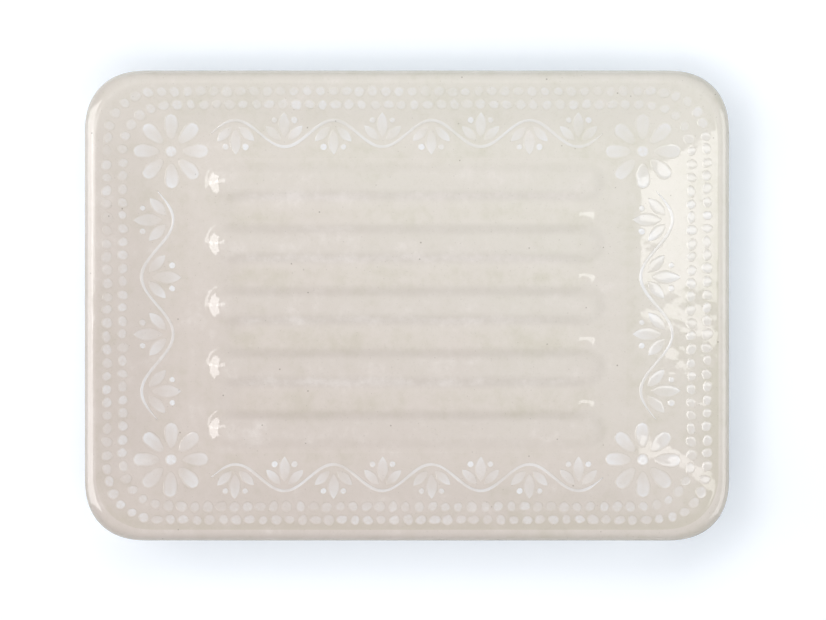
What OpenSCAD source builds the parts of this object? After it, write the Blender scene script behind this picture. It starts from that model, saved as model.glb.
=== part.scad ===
// Soap dish in glazed stoneware, with a moulded ribbed well and a raised slip border.
// The origin is at the centre of the foot, on the surface that the dish stands on.
// +X runs along the length and +Z is up.

/* [Overall] */
// Length over the rim, left to right
dish_len = 137; // [124:1:160]
// Width over the rim, front to back
dish_wid = 100; // [92:1:120]
// Height of the rim above the surface that the dish stands on
dish_h = 20; // [19:0.5:30]
// How far the rounding of each outer corner reaches along the sides
corner_size = 13.6; // [11:0.2:17]

/* [Rim] */
// Radius of the outer half of the rolled lip
lip_r = 2.4; // [1.6:0.1:3]
// Radius of the inner half of the lip, where it rolls over into the border
roll_r = 2; // [1.4:0.1:4]

/* [Border] */
// Width of the evenly sloped part of the border, which carries the beads, in plan
border_w = 7.9; // [7.2:0.1:9]
// How much wider the border and its hollow curve are at the two ends
end_extra = 3; // [0:0.5:4]
// Slope of the border in degrees
border_angle = 22; // [19:1:25]
// Radius of the hollow curve from the sloped border down to the floor of the well
fillet_r = 20; // [18:1:24]

/* [Ribs] */
// Number of ribs that hold the soap clear of the water
rib_count = 5; // [3:1:5]
// Height of a rib's crown above the floor
rib_h = 0.9; // [0.5:0.1:1.2]
// Depth of the channels between the ribs, below the floor
channel_depth = 0.7; // [0.4:0.1:1.5]
// Width of a rib at half its height
rib_w = 6.1; // [4:0.1:7]
// Width in plan of a rib's flank, from crown to channel
flank_w = 3.2; // [2:0.1:4]
// Flat floor left beside the outer ribs
rib_side_gap = 0.4; // [0.3:0.1:3]
// Flat floor left beyond the ribs' round ends
rib_end_gap = 4; // [3:0.5:10]
// How much sooner the channels end than the ribs
channel_setback = 2; // [1:0.5:4]
// Length over which a channel's floor rises at each end
channel_ramp = 7.4; // [4:0.2:10]

/* [Underside] */
// How far the outer wall turns under, in plan
belly_w = 11; // [8:0.5:13]
// Height of the bare foot ring below the glazed wall
foot_h = 2.2; // [1.5:0.1:4]
// Width of the foot ring
foot_w = 4.2; // [3:0.2:6]
// Ledge between the glazed wall and the foot ring, and inside the foot ring
foot_ledge = 0.6; // [0.4:0.1:1.5]
// Thickness of the clay under the channels
floor_t = 7.2; // [5:0.2:8]
// Rounding of the recess under the floor
recess_r = 3; // [2:0.5:4]

/* [Slip decoration] */
// Thickness of the raised slip
slip_t = 0.2; // [0.15:0.05:0.5]
// Diameter of the beads along the rim
bead_d = 2.4; // [1.8:0.1:2.5]
// Spacing of the beads along their row
bead_pitch = 2.8; // [2.7:0.1:5]
// Distance between the two rows of beads
bead_row_step = 2.7; // [2.6:0.1:3]
// Gap between the lip and the beads, and between the beads and the motifs
slip_gap = 0.25; // [0.15:0.05:0.5]
// Radius of a corner daisy
daisy_r = 8; // [6.5:0.1:8.6]
// Number of petals of a daisy
petal_count = 8; // [6:1:9]
// Radius of the bare ring round a daisy's eye
daisy_ring_r = 2.4; // [2:0.1:3]
// Radius of a daisy's eye
eye_r = 1.3; // [0.8:0.1:1.6]
// Gap between the vine's band and the flat floor
floor_clear = 0.55; // [0.3:0.05:1.5]
// Width of the vine's stem
vine_w = 0.7; // [0.4:0.05:0.9]
// Length of one wave of the vine
wave_len = 21; // [20:0.5:26]
// Diameter of a berry
berry_d = 1.5; // [1:0.1:1.6]

/* [Hidden] */

full_turn = 360;
half_len = dish_len / 2;
half_wid = dish_wid / 2;

// Steps of each quarter of a ring, and of each curve of the section
corner_steps = 10;
lip_steps = 6;
roll_steps = 3;
fillet_steps = 5;
belly_steps = 9;
recess_steps = 4;

// Power of the corners' curve, between a circle's 2 and a square corner
corner_power = 2.4;
// Share of an inset by which the corners get smaller
corner_shrink_share = 0.3;

// Section of the dish as insets from the rim and heights
border_in = lip_r + roll_r * sin(border_angle);
border_top = dish_h - roll_r * (1 - cos(border_angle));
border_out = border_in + border_w;
border_foot = border_top - border_w * tan(border_angle);
floor_in = border_out + fillet_r * sin(border_angle);
floor_z = border_foot - fillet_r * (1 - cos(border_angle));
lip_z = dish_h - lip_r;
foot_out = belly_w + foot_ledge;
foot_in = foot_out + foot_w;
recess_in = foot_in + foot_ledge;
recess_z = floor_z - channel_depth - floor_t;
cut_over = foot_h;

lip_section = [for (i = [0:lip_steps]) let (a = 90 * (1 - i / lip_steps))
    [lip_r * (1 - sin(a)), dish_h - lip_r * (1 - cos(a))]];
roll_section = [for (i = [1:roll_steps]) let (a = border_angle * i / roll_steps)
    [lip_r + roll_r * sin(a), dish_h - roll_r * (1 - cos(a))]];
fillet_section = [for (i = [0:fillet_steps]) let (a = border_angle * (1 - i / fillet_steps))
    [floor_in - fillet_r * sin(a), floor_z + fillet_r * (1 - cos(a))]];
belly_section = [for (i = [0:belly_steps - 1]) let (a = 90 * (1 - i / belly_steps))
    [belly_w * (1 - cos(a)), foot_h + (lip_z - foot_h) * (1 - sin(a))]];
// From below the foot up along its inside, and over the ledge into the recess
recess_section = concat([[foot_in, -cut_over], [foot_in, foot_h]],
    [for (i = [0:recess_steps]) let (a = 90 * i / recess_steps)
        [recess_in + recess_r * sin(a), recess_z - (recess_z - foot_h) * sin(90 - a)]]);

// From the foot's outer edge up to the lip and in to the floor
body_section = concat(
    even([[foot_out, 0], [foot_out, foot_h]]),
    even(belly_section),
    widened(concat(lip_section, roll_section, fillet_section)));

// Ribs and channels
crown_r = (rib_w - flank_w) / 2;
rib_foot_r = (rib_w + flank_w) / 2;
rib_pitch = 2 * (half_wid - floor_in - rib_side_gap - rib_foot_r) / (rib_count - 1);
channel_bed_r = rib_pitch / 2 - rib_foot_r;
channel_edge_r = rib_pitch / 2 - crown_r;
rib_end = half_len - floor_in - end_extra - rib_end_gap;
rib_nose_x = rib_end - rib_foot_r;
channel_end = rib_end - channel_setback;
channel_ramp_x = channel_end - channel_ramp;
outer_rib_y = rib_pitch * (rib_count - 1) / 2;
// Share of a rib's profile that is one wide swell, so its crown is not flat
swell_share = 0.35;
pitch_steps = 20;
side_steps = 6;
end_steps = 9;
field_margin = rib_side_gap / 2;
field_x = rib_end + field_margin;
field_y = outer_rib_y + rib_foot_r + field_margin;
field_xs = concat(
    [for (i = [end_steps:-1:0]) -channel_ramp_x - (field_x - channel_ramp_x) * i / end_steps],
    [for (i = [0:end_steps]) channel_ramp_x + (field_x - channel_ramp_x) * i / end_steps]);
field_ys = concat(
    [for (i = [side_steps:-1:1]) -outer_rib_y - (field_y - outer_rib_y) * i / side_steps],
    [for (i = [0:pitch_steps * (rib_count - 1)]) rib_pitch * i / pitch_steps - outer_rib_y],
    [for (i = [1:side_steps]) outer_rib_y + (field_y - outer_rib_y) * i / side_steps]);

// Slip decoration
bead_row_1 = border_in + slip_gap + bead_d / 2;
bead_row_2 = bead_row_1 + bead_row_step;
bead_end = bead_row_2 + bead_d / 2;
motif_in = bead_end + slip_gap;
// Band that the vine fills: first along a long side, then across an end
band_in = [motif_in, motif_in + extra_at(motif_in)];
band_edge = floor_in - floor_clear;
band_out = [band_edge, band_edge + extra_at(band_edge)];
// Share of a corner's size by which its curve cuts the square corner, on each axis
corner_cut_share = 1 - pow(1 / 2, 1 / corner_power);
daisy_in = motif_in + max(daisy_r,
    daisy_r / sqrt(2) + corner_at(motif_in) * corner_cut_share);
daisy_x = half_len - daisy_in - extra_at(motif_in);
daisy_y = half_wid - daisy_in;
petal_steps = 14;
stem_steps = 14;
// Share of half a band's width that the vine swings to each side
wave_share = 0.6;
leaf_steps = 8;
leaf_fan_angle = 46;
// Shares of a leaf's length: how far its foot stands off, its width, and its neighbours' length
fan_base_share = 0.24;
leaf_w_share = 0.48;
side_leaf_share = 0.82;
// Share of a hollow's width that a fan may fill
fan_w_share = 0.76;
// Flat strip of the floor that the daisies' inner petals reach
daisy_floor_w = daisy_r / 2;
slip_over = dish_h;
slip_fn = 32;

function corner_at(inset) = corner_size - corner_shrink_share * inset;

// What the border's end has gained at one inset
function extra_at(inset) =
    end_extra * max(0, min(1, (inset - border_in) / (floor_in - border_in)));

// Sections as insets, heights and what the ends gain: nothing below, the border's share above
function even(section) = [for (s = section) [s[0], s[1], 0]];
function widened(section) = [for (s = section) [s[0], s[1], extra_at(s[0])]];

// One quarter of a ring, from the right-hand side round to the back
function quarter(inset, extra) = let (r = corner_at(inset))
    [for (i = [0:corner_steps]) let (a = 90 * i / corner_steps)
        [half_len - inset - extra - r + r * pow(cos(a), 2 / corner_power),
         half_wid - inset - r + r * pow(sin(a), 2 / corner_power)]];

// The whole outline at one inset, anticlockwise seen from above
function outline(inset, extra) = let (q = quarter(inset, extra)) concat(
    [for (i = [0:corner_steps]) q[i]],
    [for (i = [corner_steps:-1:0]) [-q[i][0], q[i][1]]],
    [for (i = [0:corner_steps]) [-q[i][0], -q[i][1]]],
    [for (i = [corner_steps:-1:0]) [q[i][0], -q[i][1]]]);

ring_points = 4 * (corner_steps + 1);

function ring_stack(section) =
    [for (s = section) for (p = outline(s[0], s[2])) [p[0], p[1], s[1]]];

// Side faces between ring k and ring k + 1 of a stack, seen from outside
function strip_faces(k) = [for (i = [0:ring_points - 1])
    let (j = (i + 1) % ring_points, a = k * ring_points, b = a + ring_points)
    each [[a + i, b + i, b + j], [a + i, b + j, a + j]]];

// Height share of a rib or channel at distance r from its centre line
function swell(r, inner, outer) =
    r <= inner ? 1 : r >= outer ? 0 : (1 + cos(180 * (r - inner) / (outer - inner))) / 2;
function profile(r, inner, outer) =
    swell_share * swell(r, 0, outer) + (1 - swell_share) * swell(r, inner, outer);

function nearest(y, count) = let (last = count - 1)
    (max(0, min(last, round(y / rib_pitch + last / 2))) - last / 2) * rib_pitch;

// Half the field's width at x: it narrows at its ends, inside the floor's rounded corners
function field_half(x) = let (r = corner_at(floor_in),
    over = max(0, min(1, (abs(x) - (half_len - floor_in - end_extra - r)) / r)))
    field_y - r * (1 - pow(1 - pow(over, corner_power), 1 / corner_power));
function field_row(x, y) = abs(y) <= outer_rib_y ? y : sign(y) * (outer_rib_y
    + (abs(y) - outer_rib_y) * (field_half(x) - outer_rib_y) / (field_y - outer_rib_y));

function well_z(x, y) =
    let (rib_r = norm([max(abs(x) - rib_nose_x, 0), y - nearest(y, rib_count)]),
         ramp = max(abs(x) - channel_ramp_x, 0) * channel_edge_r / channel_ramp,
         channel_r = norm([ramp, y - nearest(y, rib_count - 1)]))
    floor_z + rib_h * profile(rib_r, crown_r, rib_foot_r)
        - channel_depth * profile(channel_r, channel_bed_r, channel_edge_r);

// Faces between two loops of points, the second inside the first, both anticlockwise.
// Each point is joined to those of the other loop that lie in nearly the same direction
function direction(p, start) = (atan2(p[1], p[0]) - start + full_turn) % full_turn;
function loop_faces(points, outer, inner) =
    let (m = len(outer), n = len(inner),
         start = atan2(points[outer[0]][1], points[outer[0]][0]),
         turns = [for (k = inner) direction(points[k], start)],
         first = search(max(turns), turns)[0],
         a = [for (i = [0:m]) i == m ? full_turn : direction(points[outer[i]], start)],
         b = [for (j = [0:n]) j == 0 ? max(turns) - full_turn : turns[(first + j) % n]],
         steps = [for (i = 0, j = 0, out = false; i + j <= m + n;
             out = j == n || (i < m && a[i] + a[i + 1] < b[j] + b[j + 1]),
             i = i + (out ? 1 : 0), j = j + (out ? 0 : 1)) [i, j, out]])
    [for (k = [1:m + n])
        let (s = steps[k], p = outer[s[0] % m], q = inner[(first + s[1]) % n])
        s[2] ? [outer[s[0] - 1], q, p] : [p, inner[(first + s[1] - 1) % n], q]];

// The ribbed field is a grid, and flat floor joins its rim to the innermost ring
module dish_shell() {
    stack = ring_stack(body_section);
    rings = len(body_section);
    nx = len(field_xs);
    ny = len(field_ys);
    field = [for (y = field_ys) for (x = field_xs)
        let (row = field_row(x, y)) [x, row, well_z(x, row)]];
    points = concat(stack, field);
    base = len(stack);
    floor_ring = [for (i = [0:ring_points - 1]) base - ring_points + i];
    // Anticlockwise from the right-hand back corner
    field_rim = [
        for (i = [nx - 1:-1:1]) base + (ny - 1) * nx + i,
        for (j = [ny - 1:-1:1]) base + j * nx,
        for (i = [0:nx - 2]) base + i,
        for (j = [0:ny - 2]) base + j * nx + nx - 1];
    grid_faces = [for (j = [0:ny - 2]) for (i = [0:nx - 2])
        let (a = base + j * nx + i, b = a + nx)
        each [[a, b, b + 1], [a, b + 1, a + 1]]];
    polyhedron(
        points = points,
        faces = concat(
            [[for (i = [0:ring_points - 1]) i]],
            [for (k = [0:rings - 2]) each strip_faces(k)],
            loop_faces(points, floor_ring, field_rim), grid_faces));
}

// The hollow under the floor, inside the foot ring
module recess() {
    section = even(recess_section);
    last = (len(section) - 1) * ring_points;
    polyhedron(
        points = ring_stack(section),
        faces = concat(
            [[for (i = [0:ring_points - 1]) i]],
            [for (k = [0:len(section) - 2]) each strip_faces(k)],
            [[for (i = [ring_points - 1:-1:0]) last + i]]));
}

module dish_body() {
    color("antiquewhite") difference() {
        dish_shell();
        recess();
    }
}

// A skin of slip that lies on the border, or on the border, its hollow curve and floor edge
module slip_skin(section) {
    rings = len(section);
    upper = [for (s = section) [s[0], s[1] + slip_t, s[2]]];
    inward = concat(section, [for (i = [rings - 1:-1:0]) upper[i]]);
    count = len(inward);
    polyhedron(
        points = ring_stack(inward),
        faces = concat(
            [for (k = [0:count - 2]) for (f = strip_faces(k)) [f[2], f[1], f[0]]],
            [for (i = [0:ring_points - 1])
                let (j = (i + 1) % ring_points, a = (count - 1) * ring_points)
                each [[j, i, a + i], [j, a + i, a + j]]]));
}

border_skin = widened([[border_in, border_top], [border_out, border_foot]]);
slope_skin = widened(concat([[border_in, border_top]], fillet_section,
    [[floor_in + daisy_floor_w, floor_z]]));

module on_border() {
    intersection() {
        slip_skin(border_skin);
        linear_extrude(slip_over + slip_t) children();
    }
}

module on_slopes() {
    intersection() {
        slip_skin(slope_skin);
        linear_extrude(slip_over + slip_t) children();
    }
}

// Running length of a closed outline at each of its points
function lengths(p) = [for (i = 0, s = 0; i <= len(p);
    s = s + norm(p[(i + 1) % len(p)] - p[i % len(p)]), i = i + 1) s];

module bead_row(inset, shift) {
    p = outline(inset, extra_at(inset));
    along = lengths(p);
    total = along[len(p)];
    xs = [for (i = [0:len(p)]) [along[i], p[i % len(p)][0]]];
    ys = [for (i = [0:len(p)]) [along[i], p[i % len(p)][1]]];
    count = round(total / bead_pitch);
    for (i = [0:count - 1]) {
        s = total * (i + shift) / count;
        translate([lookup(s, xs), lookup(s, ys)]) circle(d = bead_d, $fn = slip_fn);
    }
}

module slip_beads_outer() {
    color("white") on_border() bead_row(bead_row_1, 0);
}

module slip_beads_inner() {
    // The inner row is shifted by half a bead
    color("white") on_border() bead_row(bead_row_2, 1 / 2);
}

module at_daisies() {
    for (sx = [-1, 1]) for (sy = [-1, 1])
        translate([sx * daisy_x, sy * daisy_y]) children();
}

// Shares of a petal's width at its narrow base and its round tip
petal_base_share = 0.55;
petal_tip_share = 0.98;

module petal() {
    petal_len = daisy_r - daisy_ring_r;
    full_w = 2 * PI * (daisy_r - petal_len / 2) / petal_count;
    polygon([for (i = [0:petal_steps - 1])
        let (a = 360 * i / petal_steps, t = (1 - cos(a)) / 2)
        [daisy_ring_r + petal_len * t,
         full_w / 2 * sin(a) * (petal_base_share + (petal_tip_share - petal_base_share) * t)]]);
}

module slip_daisy_petals() {
    color("white") on_slopes() at_daisies()
        for (i = [0:petal_count - 1]) rotate(360 * i / petal_count) petal();
}

module slip_daisy_eyes() {
    color("white") on_slopes() at_daisies() circle(r = eye_r, $fn = slip_fn);
}

// Free length of the vine along a long side and across an end, between the daisies
vine_clear = daisy_r + 2 * slip_gap;
vine_spans = [2 * (daisy_x - vine_clear), 2 * (daisy_y - vine_clear)];
function waves(side) = max(1, round(vine_spans[side] / wave_len));
function band_half(side) = (band_out[side] - band_in[side]) / 2;
function vine_y(s, side) = wave_share * band_half(side)
    * sin(360 * waves(side) * (s / vine_spans[side] + 1 / 2));

// A fan starts just inside the vine's crest, and its middle leaf ends at the band's edge,
// or sooner where the hollow is too narrow for the side leaves
function crest_y(side) = wave_share * band_half(side) - vine_w / 2 - slip_gap;
function hollow_w(side) = vine_spans[side] / waves(side) / 2;
function leaf_len(side) = min((crest_y(side) + band_half(side)) / (1 + fan_base_share),
    fan_w_share * hollow_w(side) / 2
        / ((1 + fan_base_share) * side_leaf_share * sin(leaf_fan_angle)));

// Each child is drawn with the middle of the band at y = 0 and the inside of the dish upwards
module on_each_side() {
    for (k = [0:3]) {
        $side = k % 2;
        rim = $side == 0 ? half_wid : half_len;
        rotate(90 * k) translate([0, (band_in[$side] + band_out[$side]) / 2 - rim]) children();
    }
}

module vine_stem(side) {
    steps = 2 * stem_steps * waves(side);
    path = [for (i = [0:steps]) let (s = vine_spans[side] * (i / steps - 1 / 2))
        [s, vine_y(s, side)]];
    normals = [for (i = [0:steps])
        let (d = path[min(i + 1, steps)] - path[max(i - 1, 0)]) [-d[1], d[0]] / norm(d)];
    polygon(concat(
        [for (i = [0:steps]) path[i] + normals[i] * vine_w / 2],
        [for (i = [steps:-1:0]) path[i] - normals[i] * vine_w / 2]));
}

module slip_vine_stems() {
    color("white") on_slopes() on_each_side() vine_stem($side);
}

// A fan stands in each hollow of the vine, pointing away from the crest
module in_hollows(side) {
    halves = 2 * waves(side);
    for (j = [0:halves - 1]) {
        s = vine_spans[side] * ((j + 1 / 2) / halves - 1 / 2);
        up = vine_y(s, side) > 0 ? 1 : -1;
        translate([s, up * crest_y(side)]) rotate(-90 * up) children();
    }
}

module leaf(len) {
    function half_w(t) = 2 * leaf_w_share * len * t * (1 - t);
    translate([fan_base_share * len, 0]) polygon(concat(
        [for (i = [0:leaf_steps]) let (t = i / leaf_steps) [len * t, -half_w(t)]],
        [for (i = [leaf_steps - 1:-1:1]) let (t = i / leaf_steps) [len * t, half_w(t)]]));
}

module slip_vine_leaves() {
    color("white") on_slopes() on_each_side() in_hollows($side) for (k = [-1:1])
        rotate(k * leaf_fan_angle) leaf(leaf_len($side) * (k == 0 ? 1 : side_leaf_share));
}

module slip_berries() {
    color("white") on_slopes() on_each_side() in_hollows($side) for (k = [-1, 1])
        rotate(k * leaf_fan_angle / 2) translate([leaf_len($side), 0])
            circle(d = berry_d, $fn = slip_fn);
}

dish_body();
slip_beads_outer();
slip_beads_inner();
slip_daisy_petals();
slip_daisy_eyes();
slip_vine_stems();
slip_vine_leaves();
slip_berries();
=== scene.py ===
"""Soap dish in glazed stoneware: its body, its raised white slip and a small studio."""

import math
import random

from bisect import bisect_right

import bmesh
import bpy
from bpy.props import FloatProperty, FloatVectorProperty, IntProperty, PointerProperty
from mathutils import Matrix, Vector, noise


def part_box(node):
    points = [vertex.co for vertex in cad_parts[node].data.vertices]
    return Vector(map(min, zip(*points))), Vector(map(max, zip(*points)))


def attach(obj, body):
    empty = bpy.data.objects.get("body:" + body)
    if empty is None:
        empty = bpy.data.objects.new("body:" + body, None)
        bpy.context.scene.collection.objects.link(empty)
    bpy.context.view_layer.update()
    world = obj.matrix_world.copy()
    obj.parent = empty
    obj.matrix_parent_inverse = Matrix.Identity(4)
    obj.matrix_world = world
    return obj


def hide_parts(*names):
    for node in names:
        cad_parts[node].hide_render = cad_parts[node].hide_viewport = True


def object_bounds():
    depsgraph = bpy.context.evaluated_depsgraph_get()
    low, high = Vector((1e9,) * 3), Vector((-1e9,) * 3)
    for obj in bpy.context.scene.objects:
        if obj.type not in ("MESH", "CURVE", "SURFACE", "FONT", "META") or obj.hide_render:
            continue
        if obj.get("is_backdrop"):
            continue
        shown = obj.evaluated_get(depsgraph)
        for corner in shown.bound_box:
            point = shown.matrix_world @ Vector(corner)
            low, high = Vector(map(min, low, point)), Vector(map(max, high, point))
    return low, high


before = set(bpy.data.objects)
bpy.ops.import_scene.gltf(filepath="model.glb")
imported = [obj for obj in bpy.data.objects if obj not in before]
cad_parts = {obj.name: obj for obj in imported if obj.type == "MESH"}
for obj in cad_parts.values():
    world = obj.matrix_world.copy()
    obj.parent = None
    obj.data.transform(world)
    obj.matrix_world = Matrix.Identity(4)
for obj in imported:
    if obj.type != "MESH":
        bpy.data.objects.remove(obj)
CAD_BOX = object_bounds()
DISH_LOW, DISH_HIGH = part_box("dish_body")
MM = 0.001
DISH_SIZE = (DISH_HIGH - DISH_LOW) / MM

bl_info = {
    "name": "Stoneware Soap Dish",
    "version": (1, 0, 0),
    "blender": (4, 5, 0),
    "location": "View3D > Sidebar > Soap Dish",
    "description": "Models a ribbed stoneware soap dish with a raised slip border",
    "category": "Object",
}


def length_setting(name, description, millimetres):
    return FloatProperty(name=name, description=description, default=millimetres * MM,
                         min=0.0, unit="LENGTH", subtype="DISTANCE", precision=5)


def colour_setting(name, description, colour):
    return FloatVectorProperty(name=name, description=description, default=colour,
                               min=0.0, max=1.0, size=3, subtype="COLOR")


def number_setting(name, description, value, low, high):
    return FloatProperty(name=name, description=description, default=value, min=low, max=high)


def power_setting(name, description, watts):
    return FloatProperty(name=name, description=description, default=watts, min=0.0, unit="POWER")


class DishSizes(bpy.types.PropertyGroup):
    """Sizes of the fired body"""
    length: length_setting("Length", "Length over the rim", DISH_SIZE.x)
    width: length_setting("Width", "Width over the rim", DISH_SIZE.y)
    height: length_setting("Height", "Height of the rim above the table", DISH_SIZE.z)
    corner_size: length_setting("Corner size", "Reach of the outer corners' rounding", 13.6)
    corner_power: number_setting("Corner power", "Power of the corners' curve, 2 for a circle",
                                 2.4, 2.0, 4.0)
    corner_shrink: number_setting("Corner shrink", "Share of an inset that the corners lose",
                                  0.3, 0.0, 0.5)
    lip_radius: length_setting("Lip radius", "Radius of the lip's outer half", 2.4)
    roll_radius: length_setting("Roll radius", "Radius of the lip's inner half", 2.0)
    border_width: length_setting("Border width", "Width of the evenly sloped border", 7.9)
    end_extra: length_setting("End extra", "Extra width of the border at the two ends", 3.0)
    border_angle: FloatProperty(
        name="Border angle", description="Slope of the border",
        default=math.radians(22), subtype="ANGLE")
    hollow_radius: length_setting("Hollow radius", "Curve from the border to the floor", 20.0)
    rib_count: IntProperty(
        name="Ribs", description="Number of ribs in the well", default=5, min=3, max=7)
    rib_height: length_setting("Rib height", "Height of a crown above the floor", 0.9)
    channel_depth: length_setting("Channel depth", "Depth of the channels", 0.7)
    rib_width: length_setting("Rib width", "Width of a rib at half its height", 6.1)
    flank_width: length_setting("Flank width", "Width of a rib's flank in plan", 3.2)
    rib_side_gap: length_setting("Side gap", "Floor beside the outer ribs", 0.4)
    rib_end_gap: length_setting("End gap", "Floor beyond the ribs' ends", 4.0)
    channel_setback: length_setting("Channel setback", "How much sooner channels end", 2.0)
    channel_ramp: length_setting("Channel ramp", "Length of a channel's rising end", 7.4)
    belly_width: length_setting("Belly width", "How far the wall turns under", 11.0)
    foot_height: length_setting("Foot height", "Height of the bare foot ring", 2.2)
    foot_width: length_setting("Foot width", "Width of the foot ring", 4.2)
    foot_ledge: length_setting("Foot ledge", "Ledge beside the foot ring", 0.6)
    floor_thickness: length_setting("Floor thickness", "Clay under the channels", 7.2)
    recess_radius: length_setting("Recess radius", "Rounding of the recess", 3.0)
    unevenness: length_setting("Unevenness", "How far the hand-pressed surface wanders", 0.06)


class SlipSizes(bpy.types.PropertyGroup):
    """Sizes of the slip decoration"""
    thickness: length_setting("Thickness", "Height of a deposit's crown", 0.07)
    seat: length_setting("Seat", "How deep a deposit is bedded in the glaze", 0.1)
    gap: length_setting("Gap", "Gap between lip, beads and motifs", 0.25)
    bead_size: length_setting("Bead size", "Size of a bead across its row", 2.4)
    bead_pitch: length_setting("Bead pitch", "Spacing of the beads", 2.8)
    bead_row_step: length_setting("Bead row step", "Distance between the rows", 2.7)
    daisy_radius: length_setting("Daisy radius", "Radius of a corner daisy", 8.0)
    daisy_ring: length_setting("Daisy ring", "Radius of the bare ring", 2.4)
    eye_radius: length_setting("Eye radius", "Radius of a daisy's eye", 1.3)
    petal_count: IntProperty(
        name="Petals", description="Number of petals of a daisy", default=8, min=5, max=12)
    floor_clear: length_setting("Floor clear", "Gap between the vines and the flat floor", 0.55)
    vine_width: length_setting("Vine width", "Width of the vine's stem", 0.7)
    wave_length: length_setting("Wave length", "Length of a wave of the vine", 21.0)
    berry_size: length_setting("Berry size", "Diameter of a berry", 1.5)


class GlazeColours(bpy.types.PropertyGroup):
    """Colours of the glaze, the slip and the bare clay, and the tint of the painted shade"""
    # Blush lies at the front left and cream at the back right: the pink hue is the glaze's own,
    # and blush's darker tone is painted shade
    cream: colour_setting("Cream", "Glaze of the side that was cooler in the kiln",
                          (0.773, 0.746, 0.683))
    blush: colour_setting("Blush", "Glaze of the side that was nearer to the fire",
                          (0.68, 0.611, 0.567))
    # Painted shade: a grey tint laid at the front and right of the lip and belly
    deep: colour_setting("Deep", "Tint of glaze hanging under the lip", (0.7, 0.69, 0.68))
    # Thin glaze on crowns and the lip's top, also used as painted light on the ribs' front flanks
    thin_and_lit: colour_setting("Thin", "Glaze drained thin over white clay", (0.87, 0.82, 0.79))
    pooled: colour_setting("Pooled", "Tint of glaze gathered in hollows", (0.905, 0.91, 0.865))
    slip: colour_setting("Slip", "White slip under the glaze", (0.86, 0.87, 0.9))
    speck: colour_setting("Speck", "Iron specks of the clay", (0.20, 0.16, 0.12))
    clay: colour_setting("Clay", "Bare clay of the foot", (0.60, 0.51, 0.41))


class StudioLook(bpy.types.PropertyGroup):
    """Floor and light of the studio"""
    floor: colour_setting("Floor", "Colour of the table", (0.93, 0.93, 0.93))
    glow: colour_setting("Glow", "Colour of the light that the table gives off",
                         (0.5, 0.72, 1.0))
    floor_glow: number_setting("Floor glow", "Light that the white table gives off",
                               0.2, 0.0, 2.0)
    air: number_setting("Air", "Light from all round", 0.0, 0.0, 3.0)
    shine_left: power_setting("Left shine", "Power of the box seen in the left lip", 1.8)
    shine_upper: power_setting("Upper shine", "Power of the box seen in the right slope", 3.9)
    shine_right: power_setting("Right shine", "Power of the box seen in the right lip", 1.3)
    fill_left_high: power_setting("High left fill", "Power of the high light at the left", 2.5)
    fill_front_high: power_setting("High front fill", "Power of the high light in front", 5.0)
    fill_left: power_setting("Left fill", "Power of the wide light at the left", 1.25)
    fill_right: power_setting("Right fill", "Power of the wide light at the right", 1.75)
    fill_back: power_setting("Back fill", "Power of the near light over the far side", 1.2)
    camera_height: length_setting("Camera height", "Height of the camera above the rim", 800.0)


class SoapDishSettings(bpy.types.PropertyGroup):
    """All settings of the soap dish"""
    dish: PointerProperty(type=DishSizes)
    slip: PointerProperty(type=SlipSizes)
    glaze: PointerProperty(type=GlazeColours)
    studio: PointerProperty(type=StudioLook)


# Shape of the dish

CORNER_FILL = 3
FIELD_COLUMNS = 145
FIELD_ROWS = 141
SHELF_LOOPS = 8
RECESS_STEPS = 6
LEDGE_STEPS = 5
BELLY_STEPS = 16
LIP_STEPS = 12
ROLL_STEPS = 5
BORDER_STEPS = 9
HOLLOW_STEPS = 14
INSET_HALVINGS = 22
SWELL_SHARE = 0.35
WAVE_SIZE = 14 * MM
RIPPLE_SIZE = 4.5 * MM
# How the painted shade on the lip, belly and roll grows to the right and to the front
SHADE_TO_RIGHT = 0.36
SHADE_TO_FRONT = 0.6
NEARLY = 1e-9

# How thick the glaze is, with painted light and shade added in: below 0 it is thin, and the ribs'
# front flanks are painted lighter; near 1 it has pooled; near 3 it takes the painted shade at the
# front and right of the lip and belly
EVEN_GLAZE = 0.2
LIP_SHADE_DEPTH = 2.8
FIELD_GLAZE = 0.25
# Painted light and shade on the ribs' flanks: front flanks lighter, back flanks darker, and
# darker still toward the front
FRONT_FLANK_LIGHT = -0.95
BACK_FLANK_SHADE = -0.1
BACK_FLANK_SHADE_RISE = 14


def arc(centre, radius, start, end, steps):
    """Points of an arc in a section, from one angle to another, in degrees"""
    turns = [math.radians(start + (end - start) * i / steps) for i in range(steps + 1)]
    return [(centre[0] + radius * math.cos(t), centre[1] + radius * math.sin(t)) for t in turns]


def between(low, high, steps):
    return [low + (high - low) * i / steps for i in range(steps + 1)]


def swell(distance, inner, outer):
    """Height share of a rib or channel at a distance from its centre line"""
    if distance >= outer:
        return 0.0
    if distance <= inner:
        return 1.0
    return (1 + math.cos(math.pi * (distance - inner) / (outer - inner))) / 2


def rib_profile(distance, inner, outer):
    wide = swell(distance, 0.0, outer)
    return SWELL_SHARE * wide + (1 - SWELL_SHARE) * swell(distance, inner, outer)


def all_round(quarter):
    """A closed outline from one quarter of it, which runs from the x axis to the y axis"""
    there, back = quarter[:-1], quarter[:0:-1]
    return (there + [(-x, y) for x, y in back] + [(-x, -y) for x, y in there]
            + [(x, -y) for x, y in back])


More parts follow.
